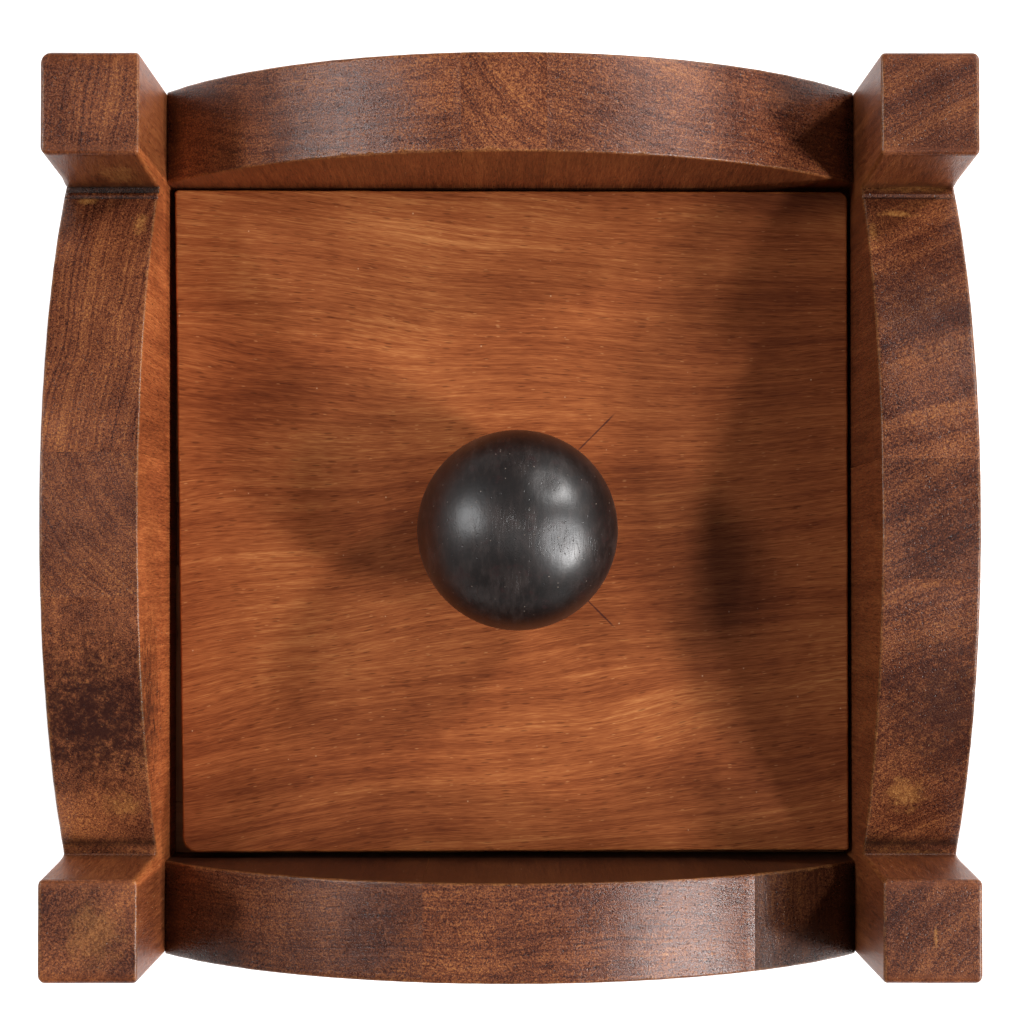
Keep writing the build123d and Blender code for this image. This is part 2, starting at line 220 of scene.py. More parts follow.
# ---- floor, lights and surroundings ----
floor_reach = 9.0
floor_corners = [(x * floor_reach, y * floor_reach, 0) for x, y in ((-1, -1), (1, -1), (1, 1), (-1, 1))]
floor_mesh = bpy.data.meshes.new("floor")
floor_mesh.from_pydata(floor_corners, [], [(0, 1, 2, 3)])
floor = bpy.data.objects.new("floor", floor_mesh)
scene.collection.objects.link(floor)
net = Net("floor_paper")
paper = net.noise(net.place_mm(), 0.004, 2.0)
floor_mesh.materials.append(
    net.finish(
        net.ramp(paper, ((0.3, (0.88, 0.88, 0.88)), (0.7, (0.92, 0.92, 0.92)))),
        0.9,
        Emission_Color=(1, 1, 1, 1),
        Emission_Strength=0.72,
    )
)

# a bright horizon that fades to a dim sky at the height glow_top
horizon_glow, sky_glow, glow_top = 0.65, 0.08, 0.22
world = bpy.data.worlds.new("studio")
scene.world = world
world.use_nodes = True
sky = world.node_tree
heading = sky.nodes.new("ShaderNodeTexCoord")
split = sky.nodes.new("ShaderNodeSeparateXYZ")
sky.links.new(heading.outputs["Generated"], split.inputs[0])
fade = sky.nodes.new("ShaderNodeMapRange")
fade.interpolation_type = "SMOOTHSTEP"
sky.links.new(split.outputs["Z"], fade.inputs[0])
for index, value in enumerate((0.0, glow_top, horizon_glow, sky_glow), start=1):
    fade.inputs[index].default_value = value
backdrop = next(n for n in sky.nodes if n.type == "BACKGROUND")
backdrop.inputs["Color"].default_value = (1.0, 1.0, 1.0, 1)
sky.links.new(fade.outputs[0], backdrop.inputs["Strength"])
scene.view_settings.view_transform = "Standard"

aim_height = 0.12


def soft_light(name, azimuth, elevation, distance, size, power, colour=(1, 1, 1)):
    """A square studio light that faces the box, placed by two angles in degrees and metres."""
    data = bpy.data.lights.new(name, "AREA")
    data.size = size
    data.energy = power
    data.color = colour
    made = bpy.data.objects.new(name, data)
    a, e = math.radians(azimuth), math.radians(elevation)
    away = Vector((math.cos(a) * math.cos(e), math.sin(a) * math.cos(e), math.sin(e)))
    facing = away.to_track_quat("Z", "Y").to_matrix().to_4x4()
    made.matrix_world = Matrix.Translation(away * distance + Vector((0, 0, aim_height))) @ facing
    scene.collection.objects.link(made)


soft_light("key_front", -22, 34, 1.5, 0.16, 12.5, (1.0, 0.99, 0.98))
soft_light("key_right", -14, 46, 1.5, 0.16, 6.5, (0.97, 0.98, 1.0))
soft_light("key_back", 41, 36, 1.5, 0.16, 10.5, (1.0, 0.99, 0.98))
soft_light("side_left", 166, 43, 1.4, 0.26, 6.8, (0.98, 0.99, 1.0))
soft_light("overhead", 250, 86, 1.6, 0.5, 1.0)


# ---- materials ----
def shifted(net, place, seed, stretch=(1, 1, 1)):
    """Noise coordinates: the place moved by a seed and stretched along an axis."""
    moved = net.vector("ADD", place, (seed * 37.13, seed * 17.71, seed * 53.37))
    return net.vector("MULTIPLY", moved, stretch)


def rub_mask(net, place, seed, rubs):
    """Share of bare, rubbed wood near the given places: (centre, half sizes, amount)."""
    ragged = net.noise(shifted(net, place, seed + 5), 0.55, 5.0, 0.85)
    mask = None
    for centre, half, amount in rubs:
        away = net.vector("SUBTRACT", place, centre)
        away = net.vector("LENGTH", net.vector("DIVIDE", away, half))
        near = net.step(net.math("ADD", away, net.math("MULTIPLY", ragged, 2.6)), 1.45, 2.3, amount, 0.0)
        mask = near if mask is None else net.math("MAXIMUM", mask, near)
    return mask


WALL_DARK = srgb(44, 19, 15)
WALL_MID = srgb(99, 49, 30)
WALL_LIGHT = srgb(153, 90, 53)
OCHRE = srgb(184, 122, 64)
STAIN = srgb(46, 19, 15)
PORE = srgb(34, 14, 10)
FLECK = srgb(214, 178, 140)
# darkest colour of soiling plus painted shade, for necks, grooves and rail ends
GRIME_AND_SHADE = srgb(30, 15, 10)
OUTER_SHADE = 0.74


def wall_wood(
    name, heart, seed, ring=0.65, rings=0.45, bands=0.25, blotch=0.45, sand=None, shade=1.0, inner_shade=1.0,
    dark=WALL_DARK, mid=WALL_MID, rubs=(), stains=(),
):
    """Stained hardwood with its grain along Z: end grain on the crown, long grain on the faces.
    heart is where the growth rings centre, and ring their spacing in millimetres. rings, bands and blotch
    are how strongly fine rings, broad rings and clouds of stain show; sand stretches one more figure.
    shade is the tone of the crown, and on the front wall's right stave also a painted shadow of its corner
    block.
    inner_shade paints light and shade on the face towards the lid: lighter on the face the lamps light,
    darker on faces turned away from them. rubs and stains are places for rub_mask."""
    net = Net(name)
    place = net.place_mm()
    bend = net.noise(shifted(net, place, seed), 0.022, 2.0, 0.5, colour=True)
    bend = net.vector("SCALE", net.vector("SUBTRACT", bend, (0.5, 0.5, 0.5)), scale=14.0)
    from_heart = net.vector("SUBTRACT", net.vector("ADD", place, bend), (*heart, 0))
    reach = net.vector("LENGTH", net.vector("MULTIPLY", from_heart, (1, 1, 0)))
    fine = net.noise_line(net.math("ADD", reach, seed * 11.0), 1.0 / ring, 3.0, 0.7)
    broad = net.noise_line(net.math("ADD", reach, seed * 7.0), 0.16 / ring, 1.0)
    grains = shifted(net, place, seed, (1, 1, 0.07))
    coarse = net.noise(grains, 2.2, 3.0, 0.8)
    dust = net.noise(grains, 4.4, 2.0, 0.7)
    stain = net.noise(shifted(net, place, seed + 3), 0.06, 4.0, 0.6)
    terms = [(fine, 0.75 * rings), (coarse, 0.75), (dust, 0.75), (broad, 0.8 * bands), (stain, blotch)]
    if sand:
        terms.append((net.noise(shifted(net, place, seed + 9, sand), 1.0, 3.0, 0.65), 0.35))
    top = net.ramp(net.total(*terms), ((0.22, dark), (0.47, mid), (0.68, WALL_LIGHT), (0.86, OCHRE)))

    long_grain = net.noise(shifted(net, place, seed + 1, (1, 1, 0.035)), 1.1, 4.0, 0.65)
    hair = net.noise(shifted(net, place, seed + 2, (1, 1, 0.06)), 4.5, 3.0, 0.7)
    drift = net.noise(shifted(net, place, seed + 8, (1, 1, 0.22)), 0.07, 3.0, 0.55)
    face = net.ramp(
        net.total((long_grain, 0.6), (hair, 0.7), (coarse, 0.3), (dust, 0.35), (drift, 0.5), (broad, 0.2)),
        ((0.2, srgb(82, 34, 15)), (0.5, srgb(144, 75, 38)), (0.78, srgb(184, 108, 58))),
    )
    x, y, _ = net.axes(place)
    past_x = net.math("SUBTRACT", net.math("ABSOLUTE", x), inner_x)
    past_y = net.math("SUBTRACT", net.math("ABSOLUTE", y), inner_y)
    # painted light and shade: each wall's face towards the lid is lightened or darkened by inner_shade; outer
    # faces get the plain tone OUTER_SHADE
    face_shade = net.step(net.math("MAXIMUM", past_x, past_y), 0.2, 1.0, inner_shade, OUTER_SHADE)
    crown = net.attribute("crown")
    colour = net.mix(crown, net.tint(face, face_shade), net.tint(top, shade))
    if stains:
        colour = net.mix(rub_mask(net, place, seed + 20, stains), colour, STAIN)

    far, kind = net.cells(shifted(net, place, seed + 4, (1, 1, 0.14)), 1.5)
    pore = net.product(net.step(far, 0.10, 0.24, 1.0, 0.0), net.step(kind, 0.35, 0.5))
    colour = net.paint(colour, pore, 0.6, PORE)
    fleck = net.product(net.step(far, 0.05, 0.13, 1.0, 0.0), net.step(kind, 0.04, 0.08, 1.0, 0.0))
    colour = net.paint(colour, fleck, 0.55, FLECK)

    broken = net.noise(shifted(net, place, seed + 6), 0.8, 3.0, 0.7)
    bare = net.bare_edge(broken, 1.4, 1.35, 1.85, 0.25)
    if rubs:
        bare = net.math("MAXIMUM", bare, rub_mask(net, place, seed, rubs))
    bare_colour = net.ramp(coarse, ((0.3, srgb(128, 74, 42)), (0.52, OCHRE), (0.7, srgb(210, 156, 90))))
    colour = net.mix(bare, colour, bare_colour)
    # soiling plus painted shade: necks, kerf grooves and rail ends by the blocks darken towards the darkest
    # colour
    dirt_and_shade = net.product(net.attribute("grime_and_shade"), net.step(broken, 0.25, 0.6, 0.7, 1.0))
    colour = net.mix(dirt_and_shade, colour, GRIME_AND_SHADE)
    colour = net.tint(colour, net.step(stain, 0.3, 0.75, 0.86, 1.1))

    relief = net.total((fine, 0.35), (coarse, 0.5), (dust, 0.45), (pore, -0.6))
    relief = net.mix(crown, hair, relief)
    gloss = net.step(net.total((coarse, 0.5), (stain, 0.8)), 0.2, 0.8, 0.24, 0.36)
    gloss = net.math("ADD", gloss, net.step(crown, 0.0, 1.0, 0.14, 0.0))
    return net.finish(colour, gloss, relief, strength=0.4, depth=0.16, IOR=1.48, Specular_IOR_Level=0.5)


def lid_wood():
    """The lid's stained wood: long grain across X, in slow waves."""
    net = Net("lid_wood")
    place = net.place_mm()
    x, y, _ = net.axes(place)
    slow = net.noise(net.vector("MULTIPLY", place, (0.5, 1.0, 0.3)), 0.024, 2.0, 0.5)
    lean = net.step(y, -12.0, 48.0, -0.13, 0.085)
    field = net.math("MULTIPLY_ADD", lean, x, y)
    field = net.math("MULTIPLY_ADD", net.math("SUBTRACT", slow, 0.5), 13.0, field)

    def waves(across, along, seed):
        """Noise coordinates that follow the waves."""
        parts = {0: net.product(x, along), 1: net.product(field, across), 2: seed}
        return net.node("ShaderNodeCombineXYZ", None, parts).outputs[0]

    def streaks(across, along, detail, rough, seed):
        return net.noise(waves(across, along, seed), 1.0, detail, rough)

    def dashes(across, along, seed, inner, outer, keep):
        far, kind = net.cells(waves(across, along, seed), 1.0)
        return net.product(net.step(far, inner, outer, 1.0, 0.0), net.step(kind, keep, keep + 0.1))

    wide = streaks(0.09, 0.008, 2.0, 0.5, 3.1)
    middle = streaks(0.5, 0.018, 3.0, 0.6, 7.7)
    fine = streaks(2.1, 0.07, 3.0, 0.65, 12.3)
    hair = streaks(6.5, 0.34, 2.0, 0.6, 21.9)
    stain = net.noise(place, 0.035, 3.0, 0.55)
    figure = net.noise(net.vector("MULTIPLY", place, (0.16, 0.05, 0.05)), 1.0, 2.0, 0.5)
    tone = net.total((wide, 0.26), (middle, 0.32), (fine, 0.42), (hair, 0.5), (stain, 0.4), (figure, 0.08))
    colour = net.ramp(
        tone,
        (
            (0.2, srgb(82, 34, 14)),
            (0.42, srgb(133, 67, 33)),
            (0.58, srgb(165, 92, 49)),
            (0.8, srgb(208, 137, 80)),
        ),
    )
    vessel = dashes(2.2, 0.30, 5.0, 0.12, 0.30, 0.45)
    colour = net.paint(colour, vessel, 0.5, srgb(70, 28, 14))
    ray = dashes(2.4, 0.5, 9.0, 0.08, 0.24, 0.8)
    colour = net.paint(colour, ray, 0.4, srgb(226, 160, 104))
    far, kind = net.cells(place, 0.42)
    speck = net.product(net.step(far, 0.03, 0.075, 1.0, 0.0), net.step(kind, 0.86, 0.9))
    colour = net.paint(colour, speck, 0.6, srgb(230, 190, 150))

    # two short diagonal scratches to the right of the knob
    ragged = net.product(net.noise(place, 0.7, 2.0), 0.3)
    ends = net.product(net.step(x, 11.0, 12.5), net.step(x, 17.0, 18.6, 1.0, 0.0))
    for slope, offset in ((1.0, 0.6), (-1.0, -0.2)):
        gap = net.math("ABSOLUTE", net.math("SUBTRACT", y, net.math("MULTIPLY_ADD", x, slope, offset)))
        line = net.step(net.math("ADD", gap, ragged), 0.22, 0.42, 1.0, 0.0)
        colour = net.paint(colour, net.product(line, ends), 0.75, srgb(48, 20, 26))

    bare = net.bare_edge(net.noise(place, 0.5, 3.0, 0.7), 1.4, 1.5, 2.0, 0.5)
    colour = net.mix(bare, colour, srgb(200, 120, 62))
    relief = net.total((fine, 0.5), (hair, 0.4), (vessel, -0.8))
    gloss = net.step(net.total((stain, 0.6), (fine, 0.4)), 0.25, 0.75, 0.4, 0.52)
    return net.finish(colour, gloss, relief, strength=0.4, depth=0.09, IOR=1.48, Specular_IOR_Level=0.16)


def inner_wood(name, grain, seed, dark, light):
    """Plainer wood inside the box, with its grain along the axis numbered grain."""

    def stretch(share):
        return tuple(share if axis == grain else 1.0 for axis in range(3))

    net = Net(name)
    place = net.place_mm()
    wide = net.noise(shifted(net, place, seed, stretch(0.05)), 0.35, 3.0, 0.6, 0.4)
    fine = net.noise(shifted(net, place, seed + 1, stretch(0.05)), 2.4, 3.0, 0.65)
    stain = net.noise(shifted(net, place, seed + 2), 0.05, 3.0, 0.55)
    far, _ = net.cells(shifted(net, place, seed + 3, stretch(0.16)), 1.2)
    pore = net.step(far, 0.1, 0.22, 1.0, 0.0)
    colour = net.ramp(net.total((wide, 0.6), (fine, 0.5), (stain, 0.4)), ((0.25, dark), (0.75, light)))
    colour = net.paint(colour, pore, 0.45, tuple(0.35 * v for v in dark))
    bare = net.bare_edge(stain, 1.2, 1.2, 1.8, 0.55)
    colour = net.mix(bare, colour, tuple(min(1.0, 1.45 * v) for v in light))
    relief = net.total((fine, 0.6), (pore, -0.6))
    gloss = net.step(fine, 0.3, 0.7, 0.48, 0.62)
    return net.finish(colour, gloss, relief, strength=0.35, depth=0.1, IOR=1.47, Specular_IOR_Level=0.3)


def knob_lacquer():
    """Near-black lacquer over the turned knob, with scratches, dust and a reddish lower rim that is partly
    worn lacquer and partly a painted reflection of the lid's wood.
    """
    net = Net("knob_black_lacquer")
    place = net.place_mm()
    cloud = net.noise(place, 0.12, 3.0, 0.6)
    streak = net.noise(net.vector("MULTIPLY", place, (1.0, 0.35, 0.35)), 0.9, 3.0, 0.65)
    colour = net.ramp(
        net.total((cloud, 0.8), (streak, 0.9)),
        ((0.25, srgb(16, 10, 9)), (0.5, srgb(30, 22, 20)), (0.8, srgb(56, 46, 43))),
    )
    x, y, z = net.axes(place)
    # reddish rim on the lower left side: partly worn lacquer, partly a painted reflection of the lid's wood
    low_side = net.math("MULTIPLY_ADD", y, -0.55, net.product(x, -0.8))
    rim = net.product(net.step(low_side, 6.0, 15.0), net.step(z, 138.0, 148.0, 1.0, 0.0), 0.7)
    red_wear_and_reflection = net.product(rim, net.step(net.noise(place, 0.35, 3.0, 0.7), 0.35, 0.7))
    colour = net.paint(colour, red_wear_and_reflection, 0.75, srgb(78, 34, 22))
    blush = net.step(net.noise(place, 0.3, 4.0, 0.75), 0.56, 0.7)
    colour = net.paint(colour, blush, 0.5, srgb(52, 26, 26))
    far, kind = net.cells(place, 1.3)
    mote = net.product(net.step(far, 0.07, 0.2, 1.0, 0.0), net.step(kind, 0.84, 0.9))
    colour = net.paint(colour, mote, 0.55, srgb(158, 142, 128))
    pit = net.product(net.step(far, 0.1, 0.26, 1.0, 0.0), net.step(kind, 0.08, 0.14, 1.0, 0.0))
    scratch_field = net.noise(net.vector("MULTIPLY", place, (2.2, 0.22, 0.3)), 0.9, 1.0, 0.4)
    scratch = net.step(net.math("ABSOLUTE", net.math("SUBTRACT", scratch_field, 0.5)), 0.0, 0.012, 1.0, 0.0)
    scratch = net.product(scratch, net.step(cloud, 0.5, 0.62))
    orange = net.noise(place, 1.4, 2.0, 0.5)
    relief = net.total((orange, 0.4), (cloud, 0.25), (scratch, -0.7), (mote, 0.4), (pit, -0.8), (streak, 0.5))
    matt = net.total((cloud, 0.9), (streak, 0.9), (scratch, 0.5), (pit, 0.6))
    gloss = net.step(matt, 0.2, 0.85, 0.38, 0.54)
    gloss = net.math("ADD", gloss, net.step(x, -3.0, -10.0, 0.0, 0.05))
    return net.finish(colour, gloss, relief, strength=0.3, depth=0.12, IOR=1.5, Specular_IOR_Level=0.85)


def metal(name, colour, roughness, seed):
    """A used metal: tone and polish vary, with fine scratches."""
    net = Net(name)
    place = net.place_mm()
    cloud = net.noise(shifted(net, place, seed), 0.35, 3.0, 0.6)
    brush = net.noise(shifted(net, place, seed + 1, (1, 1, 0.2)), 6.0, 2.0, 0.6)
    tone = net.ramp(
        net.total((cloud, 0.8), (brush, 0.3)),
        ((0.25, tuple(0.55 * v for v in colour)), (0.7, colour)),
    )
    gloss = net.step(net.total((cloud, 0.6), (brush, 0.5)), 0.2, 0.8, roughness - 0.08, roughness + 0.14)
    return net.finish(tone, gloss, brush, strength=0.15, depth=0.03, Metallic=1.0)


# ---- mesh helpers ----
def wobble(point, scale, seed):
    """Smooth noise from -1 to 1 at a point in millimetres."""
    return noise.noise(Vector(point) * scale + Vector((seed * 13.7, seed * 5.3, seed * 9.1)))


def to_object(name, bm, materials, body, stands_for, sharp=32.0):
    """Finishes a mesh in millimetres as a piece that rides on a CAD body.
    Edges that turn by more than sharp degrees, and the faces of a cap, aren't smoothed."""
    bmesh.ops.recalc_face_normals(bm, faces=bm.faces)
    limit = math.radians(sharp)
    for e in bm.edges:
        e.smooth = len(e.link_faces) == 2 and e.calc_face_angle(0.0) < limit
    cap = bm.faces.layers.int.get("cap")
    for face in bm.faces:
        face.smooth = not (cap and face[cap])
    bmesh.ops.scale(bm, vec=(MM, MM, MM), verts=bm.verts)
    mesh = bpy.data.meshes.new(name)
    bm.to_mesh(mesh)
    bm.free()
    made = bpy.data.objects.new(name, mesh)
    scene.collection.objects.link(made)
    for material in materials:
        mesh.materials.append(material)
    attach(made, body)
    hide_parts(*stands_for)
    return made


def cutter_object(bm):
    """A mesh in metres as an object that is only used to cut."""
    mesh = bpy.data.meshes.new("cutter")
    bm.to_mesh(mesh)
    bm.free()
    made = bpy.data.objects.new("cutter", mesh)
    scene.collection.objects.link(made)
    return made


def box_cutter(low, high):
    """A closed box between two corners in millimetres."""
    bm = bmesh.new()
    bmesh.ops.create_cube(bm, size=1.0)
    for v in bm.verts:
        v.co = Vector((a if side < 0 else b) for side, a, b in zip(v.co, low, high)) * MM
    return cutter_object(bm)


def drum_cutter(radius, low, high, centre, steps=48):
    """A closed upright cylinder between two heights in millimetres."""
    size = dict(radius1=radius * MM, radius2=radius * MM, depth=(high - low) * MM)
    bm = bmesh.new()
    bmesh.ops.create_cone(bm, cap_ends=True, segments=steps, **size)
    bmesh.ops.translate(bm, verts=bm.verts, vec=Vector((centre[0], centre[1], (low + high) / 2)) * MM)
    return cutter_object(bm)


def cut_away(piece, cutter):
    """Cuts the cutter's space out of a piece, and removes the cutter."""
    modifier = piece.modifiers.new("cut", "BOOLEAN")
    modifier.operation = "DIFFERENCE"
    modifier.solver = "EXACT"
    modifier.object = cutter
    bpy.context.view_layer.update()
    evaluated = piece.evaluated_get(bpy.context.evaluated_depsgraph_get())
    mesh = bpy.data.meshes.new_from_object(evaluated)
    piece.modifiers.remove(modifier)
    old = piece.data
    name = old.name
    piece.data = mesh
    bpy.data.meshes.remove(old)
    mesh.name = name
    bpy.data.objects.remove(cutter)


def rounded_plate(outline, low, high, place, rows, arc=6):
    """A plate of closed outline between two planes, with a rounded rim on both sides.
    outline is a list of dicts: at (u, v), rim_low and rim_high (rounding on each side), corner (sharp),
    crown, grime (attribute values; grime is soiling plus painted shade), rough (how far the surface strays
    inward) and lift (a groove or a step).
    place turns (u, v, w) into a point. Returns the bmesh in millimetres."""
    count = len(outline)
    points = [Vector(p["at"]) for p in outline]
    area = sum(points[i].cross(points[(i + 1) % count]) for i in range(count))
    turn_sign = 1.0 if area > 0 else -1.0
    edge_normals = []
    for i in range(count):
        along = (points[(i + 1) % count] - points[i]).normalized()
        edge_normals.append(Vector((along.y, -along.x)) * turn_sign)

    rim_keys = ("rim_low", "rim_high")

    def meeting(before, after, d0, d1):
        """How far two edges' crossing moves when they move in by d0 and d1."""
        c = before.dot(after)
        return (before * (d0 - c * d1) + after * (d1 - c * d0)) / (1 - c * c)

    def inset(i, reach, side):
        """Vertex i of the outline moved in; reach turns a rim's rounding into a distance."""
        point = outline[i]
        if "fillet" in point:
            corner, to_before, to_after, radius, share, rims_before, rims_after = point["fillet"]
            d0, d1 = reach(rims_before[side]), reach(rims_after[side])
            before = Vector((-to_before.y, to_before.x)) * turn_sign
            after = Vector((to_after.y, -to_after.x)) * turn_sign
            moved = corner - meeting(before, after, d0, d1)
            return fillet_at(moved, to_before, to_after, max(radius - min(d0, d1), 0.03), share)
        before, after = edge_normals[i - 1], edge_normals[i]
        if point["corner"]:
            key = rim_keys[side]
            shift = meeting(before, after, reach(outline[i - 1][key]), reach(outline[(i + 1) % count][key]))
        else:
            middle = (before + after).normalized()
            shift = middle * (reach(point[rim_keys[side]]) / max(0.5, middle.dot(after)))
        return points[i] - shift

    bm = bmesh.new()
    layers = {key: bm.verts.layers.float.new(key) for key in ("edge", "crown", "grime_and_shade")}
    normals = [(edge_normals[i - 1] + edge_normals[i]).normalized() for i in range(count)]
    loops = []

    def ring(reach, depths, side, worn, stray):
        """One loop around the plate; stray is how much of the roughness and the grooves it takes."""
        loop = []
        for i in range(count):
            flat = inset(i, reach, side)
            w = high - depths[i] if side else low + depths[i]
            if stray:
                where = place(flat.x, flat.y, w)
                push = outline[i]["rough"] * (0.7 * wobble(where, 0.11, 1) + 0.3 * wobble(where, 0.45, 2) - 1)
                flat = flat + normals[i] * (stray * (push + outline[i]["lift"]))
            vertex = bm.verts.new(place(flat.x, flat.y, w))
            vertex[layers["edge"]] = worn
            vertex[layers["crown"]] = outline[i]["crown"] * stray
            vertex[layers["grime_and_shade"]] = outline[i]["grime_and_shade"] * stray
            loop.append(vertex)
        loops.append(loop)

    def past_rim(r):
        """Where a flat cap begins: a little further in than its rim."""
        return r + 0.2

    def rim(side):
        radii = [p[rim_keys[side]] for p in outline]
        rings = [(past_rim, [0.0] * count, 0.0, 0.0)]
        for k in range(arc + 1):
            angle = math.pi / 2 * k / arc
            inward, down = 1 - math.sin(angle), 1 - math.cos(angle)
            worn = 1.0 if 0 < k < arc else 0.75
            rings.append((lambda r, f=inward: r * f, [r * down for r in radii], worn, 1 - inward))
        for reach, depths, worn, stray in rings if side else reversed(rings):
            ring(reach, depths, side, worn, stray)

    rim(1)
    for k in range(1, rows):
        share = k / rows
        depth_high = [p["rim_high"] + (high - low - p["rim_high"] - p["rim_low"]) * share for p in outline]
        ring(lambda r: 0.0, depth_high, 1, 0.35 if min(k, rows - k) == 1 else 0.0, 1.0)
    rim(0)
    for first, second in zip(loops, loops[1:]):
        for i in range(count):
            j = (i + 1) % count
            bm.faces.new((first[i], first[j], second[j], second[i]))
    cap = bm.faces.layers.int.new("cap")
    inside_only, merge_within = 1, 1e-6
    around = list(range(count)) if area > 0 else list(range(count))[::-1]
    for loop, side in ((loops[0], 1), (loops[-1], 0)):
        flat = [inset(i, past_rim, side) for i in range(count)]
        _, _, faces, sources, _, _ = delaunay_2d_cdt(flat, [], [around], inside_only, merge_within)
        for face in faces:
            corners = [loop[sources[k][0]] for k in face if sources[k]]
            if len(corners) > 2 and not bm.faces.get(corners):
                bm.faces.new(corners)[cap] = 1
    return bm


# ---- box walls ----
block_y = 57.65  # inner face of a corner block at its top
neck_y, neck_z = 56.05, 129.5  # where that face meets the bow of a side board
spring_z = 121.0  # where the arch of an end board begins
pitch, fine_pitch = 0.48, 0.16  # between the points of a crown


def arc_radius(half_span, rise):
    return (half_span**2 + rise**2) / (2 * rise)


bow_radius = arc_radius(neck_y, crown_z - neck_z)
rail_radius = arc_radius(inner_x, crown_z - spring_z)


def arc_z(across, radius):
    """Height of a crown's arc at a distance from its middle."""
    return crown_z - radius + math.sqrt(radius**2 - across * across)


def tent(value, centre, half):
    """1 at the centre, falling to 0 at half away from it."""
    return max(0.0, 1 - abs(value - centre) / half)


def spot(u, v, crown=0.0, grime_and_shade=0.0, low=0.35, high=0.35, corner=False, rough=0.0, lift=0.0):
    return {
        "at": (u, v),
        "rim_low": low,
        "rim_high": high,
        "corner": corner,
        "crown": crown,
        "grime_and_shade": grime_and_shade,
        "rough": rough,
        "lift": lift,
    }


def fillet_at(corner, before, after, radius, share):
    """Point of a fillet at a corner, from 0 at the side it comes from to 1 at the side it goes to."""
    half = before.angle(after) / 2
    centre = corner + (before + after).normalized() * (radius / math.sin(half))
    run = radius / math.tan(half)
    start, end = corner + before * run - centre, corner + after * run - centre
    sweep = start.angle(end)
    return centre + (start * math.sin((1 - share) * sweep) + end * math.sin(share * sweep)) / math.sin(sweep)


def rounded(corner, before, after, radius, steps, rims_before=(0.35, 0.35), rims_after=(0.35, 0.35), **more):
    """Points of a fillet at a corner between two directions, with the rim rounding of each side."""
    c, b, a = Vector(corner), Vector(before).normalized(), Vector(after).normalized()
    made = []
    for k in range(steps + 1):
        share = k / steps
        low, high = (p + (q - p) * share for p, q in zip(rims_before, rims_after))
        point = spot(*fillet_at(c, b, a, radius, share), low=low, high=high, **more)
        point["fillet"] = (c, b, a, radius, share, rims_before, rims_after)
        made.append(point)
    return made


def neck_detail(style, run):
    """Lift, and darkening by soiling plus painted shade, of a bow at the distance run from its neck."""
    if style == "kerf":
        lift = -0.8 * tent(run, 0.35, 0.5) - 0.4 * tent(run, 1.75, 0.25)
        return lift, max(0.95 - run, 0.85 * tent(run, 1.75, 0.35), 0.35 * tent(run, 0.0, 5.0))
    if style == "ragged":
        lift = -0.45 * tent(run, 1.7, 0.35) + (0.15 if run < 1.3 else 0.0)
        return lift, max(0.9 * tent(run, 1.75, 0.4), 0.3 * tent(run, 0.0, 5.0))
    lift = 0.75 * tent(run, 0.0, 2.4) ** 2
    return lift, max(0.85 * tent(run, 2.0, 1.6), 0.4 * tent(run, 0.0, 6.0))


def side_half(style, outer, inner):
    """Crown of half a side board, from its end to the middle, for y above 0.
    style is how the bow meets the block: with a saw kerf, a ragged cut or a cove. outer and inner are the
    plan roundings of the block's edges."""
    down = Vector((neck_y - block_y, neck_z - crown_z)).normalized()
    end_rims, top_rims, bow_rims = (outer, inner), (0.6, 0.5), (0.5, 0.42)
    wall_rims = (0.6 * outer + 0.2, 0.6 * inner + 0.2)
    path = rounded((half_depth, crown_z), (0, -1), (-1, 0), 1.0, 6, end_rims, top_rims, crown=0.6, rough=0.05)
    first, last = half_depth - max(end_rims) - 0.9, block_y + max(wall_rims) + 0.8
    steps = 18
    for k in range(steps + 1):
        y = first + (last - first) * k / steps
        path.append(spot(y, crown_z, crown=1.0, low=top_rims[0], high=top_rims[1], rough=0.06))
    shoulder = rounded((block_y, crown_z), (1, 0), down, 0.9, 6, top_rims, wall_rims, crown=0.6, rough=0.05)
    path += shoulder
    wall_start, wall_end = Vector(shoulder[-1]["at"]), Vector((neck_y, neck_z))
    blend = 4.0
    steps = 26
    for k in range(1, steps):
        at = wall_start.lerp(wall_end, k / steps)
        share = min(1.0, (wall_end - at).length / blend)
        low, high = (b + (w - b) * share for b, w in zip(bow_rims, wall_rims))
        # the block's face darkens towards the neck: soiling plus painted shade in the corner
        path.append(spot(at.x, at.y, grime_and_shade=0.6 * (1 - share), low=low, high=high, rough=0.07))
    y = neck_y
    while y > 0.2:
        run = neck_y - y
        lift, grime_and_shade = neck_detail(style, run)
        rims = dict(low=bow_rims[0], high=bow_rims[1])
        path.append(spot(y, arc_z(y, bow_radius), crown=1.0, grime_and_shade=grime_and_shade, rough=0.09, lift=lift, **rims))
        y -= fine_pitch if run < 2.6 else pitch
    return path


